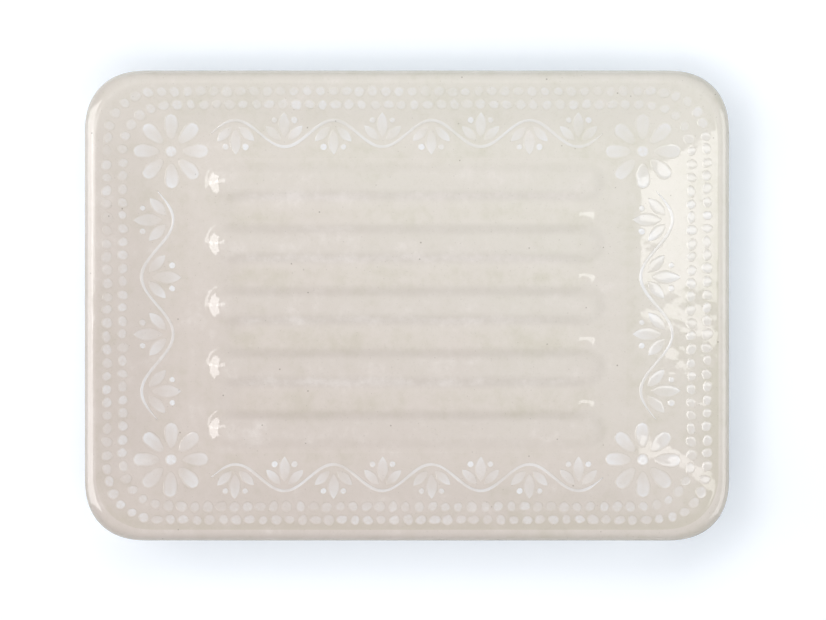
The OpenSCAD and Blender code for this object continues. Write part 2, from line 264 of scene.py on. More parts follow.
class DishForm:
    """The dish's outlines and heights, worked out from its sizes"""

    def __init__(self, sizes):
        s = self.sizes = sizes
        self.half_length, self.half_width = s.length / 2, s.width / 2
        rise, run = 1 - math.cos(s.border_angle), math.sin(s.border_angle)
        self.slope = math.tan(s.border_angle)
        self.border_in = s.lip_radius + s.roll_radius * run
        self.border_top = s.height - s.roll_radius * rise
        self.border_out = self.border_in + s.border_width
        self.border_foot = self.border_top - s.border_width * self.slope
        self.floor_in = self.border_out + s.hollow_radius * run
        self.floor_z = self.border_foot - s.hollow_radius * rise
        self.crown = (s.rib_width - s.flank_width) / 2
        self.rib_foot = (s.rib_width + s.flank_width) / 2
        spare = self.half_width - self.floor_in - s.rib_side_gap - self.rib_foot
        self.pitch = 2 * spare / (s.rib_count - 1)
        self.channel_bed = self.pitch / 2 - self.rib_foot
        self.channel_edge = self.pitch / 2 - self.crown
        rib_end = self.half_length - self.floor_in - s.end_extra - s.rib_end_gap
        self.rib_nose = rib_end - self.rib_foot
        self.ramp_start = rib_end - s.channel_setback - s.channel_ramp
        self.field_x = rib_end + s.rib_side_gap / 2
        self.field_y = spare + self.rib_foot + s.rib_side_gap / 2
        self.columns = between(-self.field_x, self.field_x, FIELD_COLUMNS - 1)
        self.rows = between(-self.field_y, self.field_y, FIELD_ROWS - 1)
        self.floor_reach = self.corner(self.floor_in)
        self.floor_x = self.half_length - self.floor_in - s.end_extra - self.floor_reach
        self.floor_y = self.half_width - self.floor_in - self.floor_reach
        self.places = self.turns()

    def corner(self, inset):
        return self.sizes.corner_size - self.sizes.corner_shrink * inset

    def extra(self, inset):
        """What the two ends have gained in width at one inset"""
        share = (inset - self.border_in) / (self.floor_in - self.border_in)
        return self.sizes.end_extra * max(0.0, min(1.0, share))

    def field_half(self, x):
        """Half the ribbed field's width: it narrows at its ends, inside the rounded corners"""
        over = max(0.0, abs(x) - self.floor_x) / self.floor_reach
        power = self.sizes.corner_power
        return self.field_y - self.floor_reach * (1 - (1 - over**power) ** (1 / power))

    def field_row(self, x, y):
        """Where a row of the ribbed field runs at x"""
        last = self.pitch * (self.sizes.rib_count - 1) / 2
        if abs(y) <= last:
            return y
        share = (self.field_half(x) - last) / (self.field_y - last)
        return math.copysign(last + (abs(y) - last) * share, y)

    def field_rim(self):
        """One quarter of the ribbed field's outline, from the x axis to the y axis"""
        side = [(self.field_x, self.field_row(self.field_x, y)) for y in self.rows if y > -NEARLY]
        back = [(x, self.field_half(x)) for x in reversed(self.columns) if x > -NEARLY]
        return side + [side[-1]] * CORNER_FILL + back

    def turns(self):
        """For each point of field_rim() its like on a ring: a share of the ring's straight side,
        the turn of its corner's curve, and a share of its straight back"""
        places, turn = [], 0.0
        rim = self.field_rim()
        bend = rim.index((self.field_x, self.field_half(self.field_x)))
        for i, (x, y) in enumerate(rim):
            if i <= bend:
                over = max(0.0, y - self.floor_y) / self.floor_reach
                turn = math.asin(over ** (self.sizes.corner_power / 2))
            else:
                over = max(0.0, x - self.floor_x) / self.floor_reach
                turn = math.acos(over ** (self.sizes.corner_power / 2))
            places.append((min(1.0, y / self.floor_y), turn, min(1.0, x / self.floor_x)))
        first, last = places[bend][1], places[bend + CORNER_FILL + 1][1]
        for k in range(1, CORNER_FILL + 1):
            places[bend + k] = (1.0, first + (last - first) * k / (CORNER_FILL + 1), 1.0)
        return places

    def ring(self, inset, extra):
        """One outline, anticlockwise from the middle of the right side"""
        reach = self.corner(inset)
        side_x = self.half_length - inset - extra - reach
        side_y = self.half_width - inset - reach
        power = 2 / self.sizes.corner_power
        return all_round([(side_x * back + reach * max(math.cos(turn), 0.0) ** power,
                           side_y * side + reach * max(math.sin(turn), 0.0) ** power)
                          for side, turn, back in self.places])

    def inset_at(self, x, y):
        """The inset of the ring that passes through a place on the upper side"""
        low, high = 0.0, self.half_width / 2
        for _ in range(INSET_HALVINGS):
            inset = (low + high) / 2
            reach = self.corner(inset)
            dx = max(abs(x) - (self.half_length - inset - self.extra(inset) - reach), 0.0)
            dy = max(abs(y) - (self.half_width - inset - reach), 0.0)
            power = self.sizes.corner_power
            if (dx / reach) ** power + (dy / reach) ** power <= 1:
                low = inset
            else:
                high = inset
        return low

    def height_at(self, inset):
        """Height of the upper side at an inset, outside the ribbed field"""
        s = self.sizes
        if inset < s.lip_radius:
            run = s.lip_radius - inset
            return s.height - s.lip_radius + math.sqrt(max(s.lip_radius**2 - run**2, 0.0))
        if inset < self.border_in:
            run = inset - s.lip_radius
            return s.height - s.roll_radius + math.sqrt(s.roll_radius**2 - run**2)
        if inset < self.border_out:
            return self.border_top - (inset - self.border_in) * self.slope
        if inset < self.floor_in:
            run = self.floor_in - inset
            return self.floor_z + s.hollow_radius - math.sqrt(s.hollow_radius**2 - run**2)
        return self.floor_z

    def nearest(self, y, count):
        last = count - 1
        return (max(0, min(last, round(y / self.pitch + last / 2))) - last / 2) * self.pitch

    def ramp_share(self, x):
        """How far up its rising end a channel has come at x"""
        return max(abs(x) - self.ramp_start, 0.0) / self.sizes.channel_ramp

    def rib_and_channel(self, x, y):
        """Height shares of the nearest rib and of the nearest channel"""
        s = self.sizes
        rib = math.hypot(max(abs(x) - self.rib_nose, 0.0), y - self.nearest(y, s.rib_count))
        channel = math.hypot(self.ramp_share(x) * self.channel_edge,
                             y - self.nearest(y, s.rib_count - 1))
        return (rib_profile(rib, self.crown, self.rib_foot),
                rib_profile(channel, self.channel_bed, self.channel_edge))

    def painted_side_shade(self, x, y):
        """How much painted shade falls on this side: it grows toward the front and to the right
        """
        run = SHADE_TO_RIGHT * x / self.half_length - SHADE_TO_FRONT * y / self.half_width
        return max(0.0, min(1.0, 0.5 + run))

    def sag(self, x, y, z):
        """How far the surface lies inside the true form, as pressed clay does"""
        waves = noise.noise(Vector((x, y, z)) / WAVE_SIZE)
        ripples = noise.noise(Vector((y, z, x)) / RIPPLE_SIZE)
        return self.sizes.unevenness * (0.5 + 0.38 * waves + 0.12 * ripples)

    def surface(self, x, y):
        """Height of the upper side at a place on the border or the plain floor"""
        z = self.height_at(self.inset_at(x, y))
        return z - self.sag(x, y, z)


# Pieces

def strip(low, high, count):
    """The faces between two closed loops of points, which start at two indices"""
    return [(low + i, low + (i + 1) % count, high + (i + 1) % count, high + i)
            for i in range(count)]


def add_object(name, data):
    thing = bpy.data.objects.new(name, data)
    bpy.context.scene.collection.objects.link(thing)
    return thing


def add_piece(name, vertices, faces, mark, values, material, node):
    """Makes a smooth closed piece from its points, with a mark that has a value per point"""
    mesh = bpy.data.meshes.new(name)
    mesh.from_pydata(vertices, [], faces)
    mesh.attributes.new(mark, "FLOAT", "POINT").data.foreach_set("value", values)
    work = bmesh.new()
    work.from_mesh(mesh)
    bmesh.ops.remove_doubles(work, verts=work.verts, dist=1e-7)
    bmesh.ops.dissolve_degenerate(work, edges=work.edges, dist=1e-8)
    bmesh.ops.recalc_face_normals(work, faces=work.faces)
    work.to_mesh(mesh)
    work.free()
    mesh.shade_smooth()
    mesh.materials.append(material)
    piece = add_object(name, mesh)
    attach(piece, "root")
    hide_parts(node)
    return piece


def body_section(form):
    """The dish's section from the recess outwards, up to the lip and in to the floor: for
    each ring its inset, its height, what the ends gain in width, how thick the glaze is, and
    how much painted shade it takes on the side toward the front and right"""
    s = form.sizes
    lip_z = s.height - s.lip_radius
    foot_out = s.belly_width + s.foot_ledge
    foot_in = foot_out + s.foot_width
    recess_in = foot_in + s.foot_ledge
    recess_z = form.floor_z - s.channel_depth - s.floor_thickness
    soft = s.foot_ledge
    below = []
    for i in range(RECESS_STEPS, -1, -1):
        turn = math.pi / 2 * i / RECESS_STEPS
        below.append((recess_in + s.recess_radius * math.sin(turn),
                      recess_z - (recess_z - s.foot_height) * math.cos(turn)))
    below += arc((foot_in - soft, soft), soft, 0, -90, LEDGE_STEPS)
    below += [(x, 0.0) for x in between(foot_in - soft, foot_out + soft, 4)[1:-1]]
    below += arc((foot_out + soft, soft), soft, -90, -180, LEDGE_STEPS)
    below += [(foot_out, s.foot_height), (s.belly_width, s.foot_height)]
    rings = [(inset, z, 0.0, EVEN_GLAZE, 0.0) for inset, z in below]
    # The belly takes painted shade under the lip, more toward the front and right
    for i in range(1, BELLY_STEPS):
        share = i / BELLY_STEPS
        turn = math.pi / 2 * share
        rings.append((s.belly_width * (1 - math.sin(turn)),
                      s.foot_height + (lip_z - s.foot_height) * (1 - math.cos(turn)),
                      0.0, EVEN_GLAZE + 0.8 * share**2, LIP_SHADE_DEPTH * share**3))
    # The lip's outer half takes the same painted shade at the front and right
    for i in range(LIP_STEPS + 1):
        share = i / LIP_STEPS
        turn = math.pi / 2 * share
        rings.append((s.lip_radius * (1 - math.cos(turn)),
                      lip_z + s.lip_radius * math.sin(turn),
                      0.0, 1.0 - 1.1 * share, LIP_SHADE_DEPTH * max(0.0, 1 - 2 * share)))
    inner = (between(s.lip_radius, form.border_in, ROLL_STEPS)[1:]
             + between(form.border_in, form.border_out, BORDER_STEPS)[1:]
             + between(form.border_out, form.floor_in, HOLLOW_STEPS)[1:])
    # The roll inside the lip takes painted shade at the front and right as well
    for inset in inner:
        roll = max(0.0, 1 - (inset - s.lip_radius) / (2 * s.roll_radius))
        hollow = max(0.0, 1 - 3 * (form.floor_in - inset) / s.hollow_radius)
        rings.append((inset, form.height_at(inset), form.extra(inset),
                      EVEN_GLAZE + 0.2 * hollow - 0.3 * roll, 1.5 * roll))
    return rings


def build_body(form, material):
    vertices, faces, pool = [], [], []
    count = len(form.ring(0.0, 0.0))

    rings = body_section(form)
    for k, (inset, z, extra, gathered, lip_shade) in enumerate(rings):
        ring = form.ring(inset, extra)
        vertices += [(x, y, z) for x, y in ring]
        # Each ring's mark: its glaze thickness plus its painted shade, scaled by side
        pool += [gathered + lip_shade * form.painted_side_shade(x, y) for x, y in ring]
        if k:
            faces += strip((k - 1) * count, k * count, count)
    faces.append(tuple(reversed(range(count))))
    outer = form.ring(form.floor_in, form.extra(form.floor_in))
    inner = all_round(form.field_rim())
    for k in range(1, SHELF_LOOPS + 1):
        share = k / SHELF_LOOPS
        base = len(vertices)
        vertices += [(a[0] + (b[0] - a[0]) * share, a[1] + (b[1] - a[1]) * share, form.floor_z)
                     for a, b in zip(outer, inner)]
        pool += [EVEN_GLAZE - 0.05 * share] * count
        faces += strip(base - count, base, count)
    base = len(vertices)
    for y in form.rows:
        for x in form.columns:
            row = form.field_row(x, y)
            rib, channel = form.rib_and_channel(x, row)
            vertices.append((x, row, form.floor_z + rib * form.sizes.rib_height
                             - channel * form.sizes.channel_depth))
            # Painted light and shade on the ribs' flanks: front-facing ones lighter, back-facing
            # ones darker, more so toward the front; channels hold pooled glaze, crowns thinner
            # glaze
            flank = 4 * channel * (1 - channel) * (1 - min(1.0, form.ramp_share(x) * 2))
            behind = row > form.nearest(row, form.sizes.rib_count)
            painted_side_shade = BACK_FLANK_SHADE - BACK_FLANK_SHADE_RISE * row if behind else FRONT_FLANK_LIGHT
            pool.append(FIELD_GLAZE + 0.2 * channel + painted_side_shade * flank - 0.25 * rib)
    for j in range(FIELD_ROWS - 1):
        for i in range(FIELD_COLUMNS - 1):
            a = base + j * FIELD_COLUMNS + i
            b = a + FIELD_COLUMNS
            faces.append((a, a + 1, b + 1, b))
    piece = add_piece("glazed_body", vertices, faces, "pool", pool, material,
                      "dish_body")
    settle(piece, form)


def settle(piece, form):
    """Draws the glazed surface in a little, and leaves the foot flat"""
    mesh = piece.data
    normals = [v.normal.copy() for v in mesh.vertices]
    for vertex, normal in zip(mesh.vertices, normals):
        if vertex.co.z > form.sizes.foot_height:
            vertex.co -= normal * form.sag(*vertex.co)
    mesh.update()


DEPOSIT_LEVELS = (1.0, 0.95, 0.86, 0.7, 0.45, 0.0)
EDGE_FADE = 3.2
PEBBLE_WAVES = (2, 3, 4, 5)


class Deposits:
    """Slip laid on the dish: each deposit is a low closed dome that follows the surface"""

    def __init__(self, form, slip, seed):
        self.form, self.slip = form, slip
        self.draw = random.Random(seed)
        self.vertices, self.faces, self.milk = [], [], []

    def lay(self, edge, spine, milk, hollow=0.0):
        """Adds a deposit between its edge and its spine, with one milk value per edge point.
        A hollow deposit is lower along its spine, as slip gathers at its edge"""
        count = len(edge)
        base = len(self.vertices)
        loops = []
        for level in DEPOSIT_LEVELS:
            rise = (1 - level**3) ** 0.7 * (1 - hollow * (1 - level) ** 2)
            cover = min(1.0, EDGE_FADE * (1 - level)) * (1 - hollow * (1 - level))
            loops.append((level, self.slip.thickness * rise, cover))
        loops += [(level, -self.slip.seat, 0.0) for level in (0.0, 1.0)]
        for level, rise, cover in loops:
            for (ex, ey), (sx, sy), white in zip(edge, spine, milk):
                x, y = sx + (ex - sx) * level, sy + (ey - sy) * level
                self.vertices.append((x, y, self.form.surface(x, y) + rise))
                self.milk.append(white * cover)
        for k in range(len(loops)):
            if k != len(DEPOSIT_LEVELS) - 1:
                self.faces += strip(base + k * count, base + (k + 1) % len(loops) * count, count)

    def pebble(self, x, y, length, width, turn, wobble, milk, sides=16):
        """A bead or berry: a rounded pebble with kinks of its own, turned along its row"""
        waves = [(k, self.draw.uniform(0.3, 1) * wobble / (k - 1), self.draw.uniform(0, 6.28))
                 for k in PEBBLE_WAVES]
        edge = []
        for i in range(sides):
            a = 2 * math.pi * i / sides
            r = 1 + sum(size * math.cos(k * a + phase) for k, size, phase in waves)
            u, v = length / 2 * r * math.cos(a), width / 2 * r * math.sin(a)
            edge.append((x + u * math.cos(turn) - v * math.sin(turn),
                         y + u * math.sin(turn) + v * math.cos(turn)))
        whites = [milk * self.draw.uniform(0.75, 1.15) for _ in range(sides)]
        self.lay(edge, [(x, y)] * sides, whites, hollow=0.2)

    def piece(self, name, material, node):
        add_piece(name, self.vertices, self.faces, "milk", self.milk, material,
                  node)


# Layout of the decoration

WAVE_SHARE = 0.6
FOOT_SHARE = 0.24
LEAF_WIDTH_SHARE = 0.48
SIDE_LEAF_SHARE = 0.82
FAN_WIDTH_SHARE = 0.76
FAN_TURN = math.radians(46)
PETAL_BASE_SHARE = 0.55
PETAL_TIP_SHARE = 0.98
STEM_STEPS = 36
STEM_TAPER = 8

# How white a deposit is, and how its hand-made places, sizes and turns vary
ROOT_MILK = 0.35
BEAD_MILK = (0.29, 0.48)
BEAD_FAINTNESS = 0.18
BEAD_LENGTH = (0.7, 0.94)
BEAD_WIDTH = (0.78, 1.0)
BEAD_DRIFT = 0.05
BEAD_TILT = 0.3
PETAL_MILK = (0.48, 0.7)
EYE_MILK = 0.7
STEM_MILK = 0.46
LEAF_MILK = (0.42, 0.64)
BERRY_MILK = (0.5, 0.85)
BERRY_SPREAD = (0.85, 1.08)


class Layout:
    """Where the beads, daisies and vines lie on the border"""

    def __init__(self, form, slip):
        self.form, self.slip = form, slip
        self.row_one = form.border_in + slip.gap + slip.bead_size / 2
        self.row_two = self.row_one + slip.bead_row_step
        motif_in = self.row_two + slip.bead_size / 2 + slip.gap
        self.band_in = (motif_in, motif_in + form.extra(motif_in))
        edge = form.floor_in - slip.floor_clear
        self.band_out = (edge, edge + form.extra(edge))
        cut = 1 - 0.5 ** (1 / form.sizes.corner_power)
        inset = motif_in + max(slip.daisy_radius, slip.daisy_radius / math.sqrt(2)
                               + form.corner(motif_in) * cut)
        self.daisy_x = form.half_length - inset - form.extra(motif_in)
        self.daisy_y = form.half_width - inset
        clear = slip.daisy_radius + 2 * slip.gap
        self.spans = (2 * (self.daisy_x - clear), 2 * (self.daisy_y - clear))

    def daisies(self):
        return [(x * self.daisy_x, y * self.daisy_y) for x in (1, -1) for y in (1, -1)]

    def half_band(self, side):
        return (self.band_out[side] - self.band_in[side]) / 2

    def waves(self, side):
        return max(1, round(self.spans[side] / self.slip.wave_length))

    def vine_y(self, s, side):
        turns = self.waves(side) * (s / self.spans[side] + 0.5)
        return WAVE_SHARE * self.half_band(side) * math.sin(2 * math.pi * turns)

    def crest(self, side):
        return WAVE_SHARE * self.half_band(side) - self.slip.vine_width / 2 - self.slip.gap

    def leaf_length(self, side):
        """As long as the band allows, and no wider in its fan than the hollow allows"""
        hollow = self.spans[side] / self.waves(side) / 2
        reach = (1 + FOOT_SHARE) * SIDE_LEAF_SHARE * math.sin(FAN_TURN)
        return min((self.crest(side) + self.half_band(side)) / (1 + FOOT_SHARE),
                   FAN_WIDTH_SHARE * hollow / 2 / reach)

    def place(self, quarter, point):
        """A point drawn along one side, carried to that side of the dish"""
        side = quarter % 2
        rim = self.form.half_length if side else self.form.half_width
        x, y = point[0], point[1] + (self.band_in[side] + self.band_out[side]) / 2 - rim
        for _ in range(quarter):
            x, y = -y, x
        return x, y

    def hollows(self, side):
        """The hollows of a vine: their middles, and 1 or -1 for the side of the crest"""
        halves = 2 * self.waves(side)
        middles = [self.spans[side] * ((j + 0.5) / halves - 0.5) for j in range(halves)]
        return [(s, 1 if self.vine_y(s, side) > 0 else -1) for s in middles]

    def bead_places(self, inset, shift):
        """Evenly spaced places along a ring, and the ring's direction there"""
        ring = self.form.ring(inset, self.form.extra(inset))
        lead = self.form.half_width - inset - self.form.corner(inset)
        runs = [0.0]
        for i, (x, y) in enumerate(ring):
            nx, ny = ring[(i + 1) % len(ring)]
            runs.append(runs[-1] + math.hypot(nx - x, ny - y))
        count = round(runs[-1] / self.slip.bead_pitch)
        places = []
        for i in range(count):
            s = (runs[-1] * (i + shift) / count + lead) % runs[-1]
            k = bisect_right(runs, s) - 1
            share = (s - runs[k]) / (runs[k + 1] - runs[k])
            a, b = ring[k], ring[(k + 1) % len(ring)]
            places.append((a[0] + (b[0] - a[0]) * share, a[1] + (b[1] - a[1]) * share,
                           math.atan2(b[1] - a[1], b[0] - a[0])))
        return places


def build_bead_rows(form, slip, material):
    layout = Layout(form, slip)
    rows = (("outer_bead_row", "slip_beads_outer", layout.row_one, 0.0),
            ("inner_bead_row", "slip_beads_inner", layout.row_two, 0.5))
    drift = BEAD_DRIFT * slip.bead_size
    for seed, (name, node, inset, shift) in enumerate(rows, 1):
        deposits = Deposits(form, slip, seed)
        draw = deposits.draw
        for x, y, turn in layout.bead_places(inset, shift):
            faintness = noise.noise(Vector((x, y, seed)) / (12 * MM))
            deposits.pebble(x + draw.uniform(-drift, drift), y + draw.uniform(-drift, drift),
                            slip.bead_pitch * draw.uniform(*BEAD_LENGTH),
                            slip.bead_size * draw.uniform(*BEAD_WIDTH),
                            turn + draw.uniform(-BEAD_TILT, BEAD_TILT), 0.09,
                            draw.uniform(*BEAD_MILK) + BEAD_FAINTNESS * faintness)
        deposits.piece(name, material, node)


def blade(deposits, root, direction, start, length, half_width, milk, steps, hollow):
    """A leaf or petal that runs out from its root, with a width by share and whiter to its
    tip. Its spine stops short of both ends, so that they are domed too"""
    direction += deposits.draw.uniform(-0.02, 0.02)
    out = (math.cos(direction), math.sin(direction))
    side = (-out[1], out[0])
    left, right, middles, white = [], [], [], []
    hand = deposits.draw.uniform(0, 100)
    for i in range(steps + 1):
        t = i / steps
        reach = start + length * t
        middle = (root[0] + out[0] * reach, root[1] + out[1] * reach)
        w = half_width(t)
        kinks = [w * (0.97 + 0.12 * noise.noise(Vector((4 * t, hand, k)))) for k in (0.3, 7.7)]
        left.append((middle[0] + side[0] * kinks[0], middle[1] + side[1] * kinks[0]))
        right.append((middle[0] - side[0] * kinks[1], middle[1] - side[1] * kinks[1]))
        middles.append(middle)
        white.append(milk * (ROOT_MILK + (1 - ROOT_MILK) * t))
    ends = steps // 6
    spine = [middles[min(max(i, ends), steps - ends)] for i in range(steps + 1)]
    deposits.lay(right + left[-2:0:-1], spine + spine[-2:0:-1], white + white[-2:0:-1], hollow)


def build_petals(form, slip, material):
    layout = Layout(form, slip)
    deposits = Deposits(form, slip, seed=3)
    length = slip.daisy_radius - slip.daisy_ring
    widest = math.pi * (slip.daisy_radius - length / 2) / slip.petal_count

    def half_width(t):
        round_off = math.sqrt(max(0.0, 1 - (2 * t - 1) ** 2))
        return widest * round_off * (PETAL_BASE_SHARE + (PETAL_TIP_SHARE - PETAL_BASE_SHARE) * t)

    for root in layout.daisies():
        for i in range(slip.petal_count):
            strength = deposits.draw.uniform(*PETAL_MILK)
            blade(deposits, root, 2 * math.pi * i / slip.petal_count, slip.daisy_ring, length,
                  half_width, strength, steps=18, hollow=0.25)
    deposits.piece("corner_daisy_petals", material, "slip_daisy_petals")


def build_eyes(form, slip, material):
    deposits = Deposits(form, slip, seed=4)
    size = 2 * slip.eye_radius
    for x, y in Layout(form, slip).daisies():
        deposits.pebble(x, y, size, size, deposits.draw.uniform(0, 3), 0.04,
                        EYE_MILK, sides=24)
    deposits.piece("corner_daisy_eyes", material, "slip_daisy_eyes")


def build_stems(form, slip, material):
    layout = Layout(form, slip)
    deposits = Deposits(form, slip, seed=5)
    for quarter in range(4):
        side = quarter % 2
        steps = STEM_STEPS * layout.waves(side)
        span = layout.spans[side]
        path = [(s, layout.vine_y(s, side)) for s in between(-span / 2, span / 2, steps)]
        left, right, milk = [], [], []
        for i, (x, y) in enumerate(path):
            ahead, behind = path[min(i + 1, steps)], path[max(i - 1, 0)]
            dx, dy = ahead[0] - behind[0], ahead[1] - behind[1]
            pressure = 1 + 0.3 * noise.noise(Vector((x / (5 * MM), quarter * 7.3, 0)))
            taper = min(1.0, 0.25 + min(i, steps - i) / STEM_TAPER)
            w = slip.vine_width / 2 * pressure * taper / math.hypot(dx, dy)
            left.append((x - dy * w, y + dx * w))
            right.append((x + dy * w, y - dx * w))
            cloud = noise.noise(Vector((x / (9 * MM), quarter * 3.1, 5)))
            milk.append(STEM_MILK + 0.25 * cloud)
        edge = [layout.place(quarter, p) for p in right + left[::-1]]
        spine = [layout.place(quarter, p) for p in path + path[::-1]]
        deposits.lay(edge, spine, milk + milk[::-1])
    deposits.piece("vine_stems", material, "slip_vine_stems")


def leaf_fans(layout):
    """Each fan's root and direction on the dish, and the side that it is on"""
    for quarter in range(4):
        side = quarter % 2
        for s, up in layout.hollows(side):
            root = layout.place(quarter, (s, up * layout.crest(side)))
            ahead = layout.place(quarter, (s, 0.0))
            yield root, math.atan2(ahead[1] - root[1], ahead[0] - root[0]), side


def build_leaves(form, slip, material):
    layout = Layout(form, slip)
    deposits = Deposits(form, slip, seed=6)
    for root, direction, side in leaf_fans(layout):
        for k in (-1, 0, 1):
            length = layout.leaf_length(side) * (1.0 if k == 0 else SIDE_LEAF_SHARE)
            strength = deposits.draw.uniform(*LEAF_MILK)
            blade(deposits, root, direction + k * FAN_TURN, FOOT_SHARE * length, length,
                  lambda t, n=length: 2 * LEAF_WIDTH_SHARE * n * t * (1 - t),
                  strength, steps=16, hollow=0.15)
    deposits.piece("vine_leaves", material, "slip_vine_leaves")


def build_berries(form, slip, material):
    layout = Layout(form, slip)
    deposits = Deposits(form, slip, seed=7)
    for root, direction, side in leaf_fans(layout):
        for k in (-1, 1):
            reach = layout.leaf_length(side)
            turn = direction + k * FAN_TURN / 2
            size = slip.berry_size * deposits.draw.uniform(*BERRY_SPREAD)
            deposits.pebble(root[0] + reach * math.cos(turn), root[1] + reach * math.sin(turn),
                            size, size, turn, 0.05, deposits.draw.uniform(*BERRY_MILK), sides=14)
    deposits.piece("vine_berries", material, "slip_berries")


# Finishes

SLIP_FINISH = "slip_under_glaze"
GLAZE_IOR = 1.55
GLAZE_ROUGHNESS = 0.032
SMEAR_ROUGHNESS = 0.006
CLAY_ROUGHNESS = 0.75
GLAZE_RELIEF = 0.12 * MM
GRAIN_COVER = 0.1
FINE_COVER = 0.22
COARSE_COVER = 0.55
# Weight of x in the drift from blush to cream, a tone shift that also carries painted shade
DRIFT_ALONG_X = 0.62


class Wire:
    """A node's output. Sums of wires and numbers add their Math nodes"""

    def __init__(self, finish, socket):
        self.finish, self.socket = finish, socket

    def _math(self, operation, first, second):
        return self.finish.node("ShaderNodeMath", {"operation": operation}, {0: first, 1: second})

    def __add__(self, other):
        return self._math("ADD", self, other)

    def __sub__(self, other):
        return self._math("SUBTRACT", self, other)

    def __rsub__(self, other):
        return self._math("SUBTRACT", other, self)

    def __mul__(self, other):
        return self._math("MULTIPLY", self, other)

    __radd__, __rmul__ = __add__, __mul__

    def above(self, low, high):
        """0 below low and 1 above high, with a soft step between"""
        return self.finish.node("ShaderNodeMapRange", {"interpolation_type": "SMOOTHSTEP"},
                                {"Value": self, "From Min": low, "From Max": high})


class Finish:
    """A material under construction"""

    def __init__(self, name):
        self.material = bpy.data.materials.new(name)
        self.material.use_nodes = True
        self.tree = self.material.node_tree
        self.tree.nodes.clear()
        self.place = self.node("ShaderNodeTexCoord", {}, {}, "Object")

    def node(self, kind, settings, sockets, output=0):
        """Adds a node: its settings first, then the values or links of its sockets"""
        node = self.tree.nodes.new(kind)
        for name, value in settings.items():
            setattr(node, name, value)
        for key, value in sockets.items():
            if isinstance(value, Wire):
                self.tree.links.new(value.socket, node.inputs[key])
            else:
                node.inputs[key].default_value = value
        return Wire(self, node.outputs[output]) if node.outputs else None

    def noise(self, size, seed, detail=3.0, roughness=0.55):
        """Soft noise from 0 to 1 with features of a size in metres"""
        moved = self.node("ShaderNodeVectorMath", {"operation": "ADD"},
                          {0: self.place, 1: (seed, seed * 0.7, seed * 1.3)})
        return self.node("ShaderNodeTexNoise", {"noise_dimensions": "3D"},
                         {"Vector": moved, "Scale": 1 / size, "Detail": detail,
                          "Roughness": roughness})

    def specks(self, cell, radius, share):
        """Round specks, one in some of the cells of a random grid"""
        sockets = {"Vector": self.place, "Scale": 1 / cell, "Randomness": 1.0}
        distance = self.node("ShaderNodeTexVoronoi", {"feature": "F1"}, sockets, "Distance")
        lot = self.node("ShaderNodeTexVoronoi", {"feature": "F1"}, sockets, "Color")
        lot = self.node("ShaderNodeSeparateColor", {}, {"Color": lot}, "Red")
        size = radius / cell
        return (1 - distance.above(size * 0.4, size)) * lot.above(1 - share, 1 - share * 0.7)

    def mark(self, name):
        return self.node("ShaderNodeAttribute", {"attribute_name": name}, {}, "Fac")

    def mix(self, factor, first, second):
        colours = [c if isinstance(c, Wire) else (*c, 1.0) for c in (first, second)]
        return self.node("ShaderNodeMix", {"data_type": "RGBA"},
                         {0: factor, 6: colours[0], 7: colours[1]}, 2)

    def tint(self, factor, colour, filter_colour):
        """A colour seen through a filter where the factor is 1"""
        return self.node("ShaderNodeMix", {"data_type": "RGBA", "blend_type": "MULTIPLY"},
                         {0: factor, 6: colour, 7: (*filter_colour, 1.0)}, 2)

    def axis(self, name):
        return self.node("ShaderNodeSeparateXYZ", {}, {"Vector": self.place}, name)

    def surface(self, sockets):
        """Ends the material in its shader"""
        shader = self.node("ShaderNodeBsdfPrincipled", {}, sockets)
        self.node("ShaderNodeOutputMaterial", {}, {"Surface": shader})
        return self.material


def glaze_colour(finish, glaze, pool):
    """Glaze that drifts from pink at the front left to cream at the back right: the pink is the
    glaze's own tone, and its darkening toward the front left is painted shade. Rosy where it is
    thin, lighter as painted light on the ribs' front flanks, greener where it has pooled, darker
    with painted shade at the front and right of the lip and belly, mottled and specked"""
    clouds = finish.noise(16 * MM, detail=4.0, seed=3.1)
    patches = finish.noise(5 * MM, seed=8.7)
    curdles = finish.noise(1.6 * MM, detail=4.0, roughness=0.65, seed=15.3)
    # The mark with mottling: glaze thickness with painted light and shade added in
    depth_and_shade = pool + (clouds - 0.5) * 1.8 + (patches - 0.5) * 1.8 + (curdles - 0.5) * 1.5
    # Real tone shift plus painted shade: blush, darker, toward the front left, and cream toward
    # the back right
    drift = finish.axis("Y") + finish.axis("X") * DRIFT_ALONG_X + (clouds - 0.5) * 40 * MM
    colour = finish.mix(drift.above(-66 * MM, 76 * MM), glaze.blush, glaze.cream)
    # Pooled glaze in hollows; the painted shade on the back flanks and at the lip also darkens
    # through this tint
    colour = finish.tint(depth_and_shade.above(0.0, 1.3), colour, glaze.pooled)
    # Painted shade: grey tint where the mark is highest, at the front and right of the lip and
    # belly
    colour = finish.tint(depth_and_shade.above(1.5, 3.2), colour, glaze.deep)
    # Thin glaze on crowns and lip, and painted light on the ribs' front flanks
    colour = finish.mix((0 - depth_and_shade).above(-0.1, 1.6) * 0.9, colour, glaze.thin_and_lit)
    fine = finish.specks(1.5 * MM, 0.16 * MM, 0.55)
    coarse = finish.specks(3.0 * MM, 0.24 * MM, 0.42)
    grain = finish.noise(0.45 * MM, detail=2.0, seed=1.7).above(0.58, 0.8)
    colour = finish.mix(grain * GRAIN_COVER, colour, glaze.speck)
    colour = finish.mix(fine * FINE_COVER, colour, glaze.speck)
    return finish.mix(coarse * COARSE_COVER, colour, glaze.speck)


